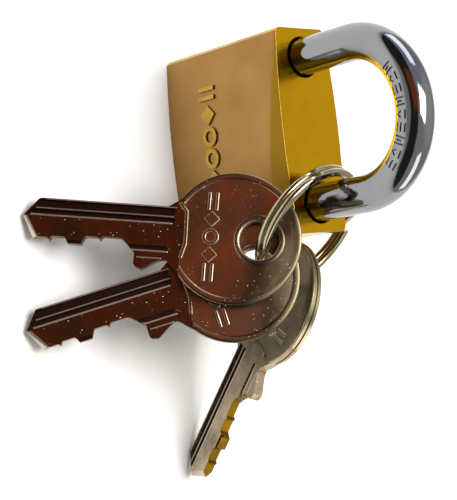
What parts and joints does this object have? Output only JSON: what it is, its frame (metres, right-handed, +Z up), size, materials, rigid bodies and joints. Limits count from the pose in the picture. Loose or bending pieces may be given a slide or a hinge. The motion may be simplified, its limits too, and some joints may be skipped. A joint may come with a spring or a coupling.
{
  "type": "padlock",
  "caption": "Solid-body padlock with a round steel shackle and a keyway in its base, and a split ring with flat keys on its long leg.",
  "frame": {"origin": "middle of the keyway's mouth, on the flat base the lock stands on", "axes": "+Z up from the base to the shackle; the front face looks to -Y; the shackle's long leg, which carries the split ring, is on the +X side"},
  "size_m": [0.0856, 0.0595, 0.064],
  "materials": {
    "brass_body": "satin, brushed",
    "brass_plug": "satin",
    "brass_pins": "turned",
    "shackle_chrome": "polished",
    "latch_steel": "machined",
    "pin_steel": "ground",
    "spring_steel": "drawn wire",
    "ring_nickel": "nickel plated, satin",
    "key_nickel": "nickel plated, worn"
  },
  "bodies": {
    "padlock": {"lock_body": "brass_body", "shackle_retaining_pin": "pin_steel", "plug_retaining_pin": "pin_steel", "latch_bore_plug": "brass_body", "shackle_spring": "spring_steel", "latch_spring": "spring_steel", "driver_pin_1": "brass_pins", "driver_pin_2": "brass_pins", "driver_pin_3": "brass_pins", "driver_pin_4": "brass_pins", "driver_pin_5": "brass_pins", "pin_spring_1": "spring_steel", "pin_spring_2": "spring_steel", "pin_spring_3": "spring_steel", "pin_spring_4": "spring_steel", "pin_spring_5": "spring_steel", "chamber_plug_1": "brass_body", "chamber_plug_2": "brass_body", "chamber_plug_3": "brass_body", "chamber_plug_4": "brass_body", "chamber_plug_5": "brass_body"},
    "plug": {"plug": "brass_plug", "cam": "latch_steel", "key_pin_1": "brass_pins", "key_pin_2": "brass_pins", "key_pin_3": "brass_pins", "key_pin_4": "brass_pins", "key_pin_5": "brass_pins"},
    "latch": {"latch_bolt": "latch_steel"},
    "shackle": {"shackle": "shackle_chrome"},
    "ring": {"split_ring": "ring_nickel"},
    "key_1": {"key_1": "key_nickel"},
    "key_2": {"key_2": "key_nickel"},
    "key_3": {"key_3": "key_nickel"}
  },
  "joints": [
    {"name": "plug_turn", "type": "hinge", "parent": "padlock", "child": "plug", "pos_m": [0, 0, 0], "axis": [0, 0, 1], "range_deg": [0, 90.1]},
    {"name": "latch_slide", "type": "slide", "parent": "padlock", "child": "latch", "axis": [1, 0, 0], "range_m": [0, 0.00481], "deforming": ["latch_spring"]},
    {"name": "shackle_lift", "type": "slide", "parent": "padlock", "child": "shackle", "axis": [0, 0, 1], "range_m": [0, 0.0086], "deforming": ["shackle_spring"]},
    {"name": "ring_tilt", "type": "hinge", "parent": "shackle", "child": "ring", "pos_m": [0.00901, 0.00067, 0.0393], "axis": [-0.1223, -0.9576, 0.2607], "range_deg": [0, 45]},
    {"name": "key_1_swing", "type": "hinge", "parent": "ring", "child": "key_1", "pos_m": [0.02075, -0.0147, 0.03137], "axis": [-0.1461, -0.6663, 0.7312], "range_deg": [-45, 15]},
    {"name": "key_2_swing", "type": "hinge", "parent": "ring", "child": "key_2", "pos_m": [0.02579, -0.01322, 0.02819], "axis": [-0.082, -0.6239, 0.7772], "range_deg": [-9, 3]},
    {"name": "key_3_swing", "type": "hinge", "parent": "ring", "child": "key_3", "pos_m": [0.02857, -0.00347, 0.02605], "axis": [-0.3256, -0.9362, -0.1321], "range_deg": [0, 50]}
  ],
  "couplings": [
    {"joint": "plug_turn", "follows": "shackle_lift", "rad_per_m": 182.65},
    {"joint": "latch_slide", "follows": "shackle_lift", "ratio": 0.55814}
  ]
}
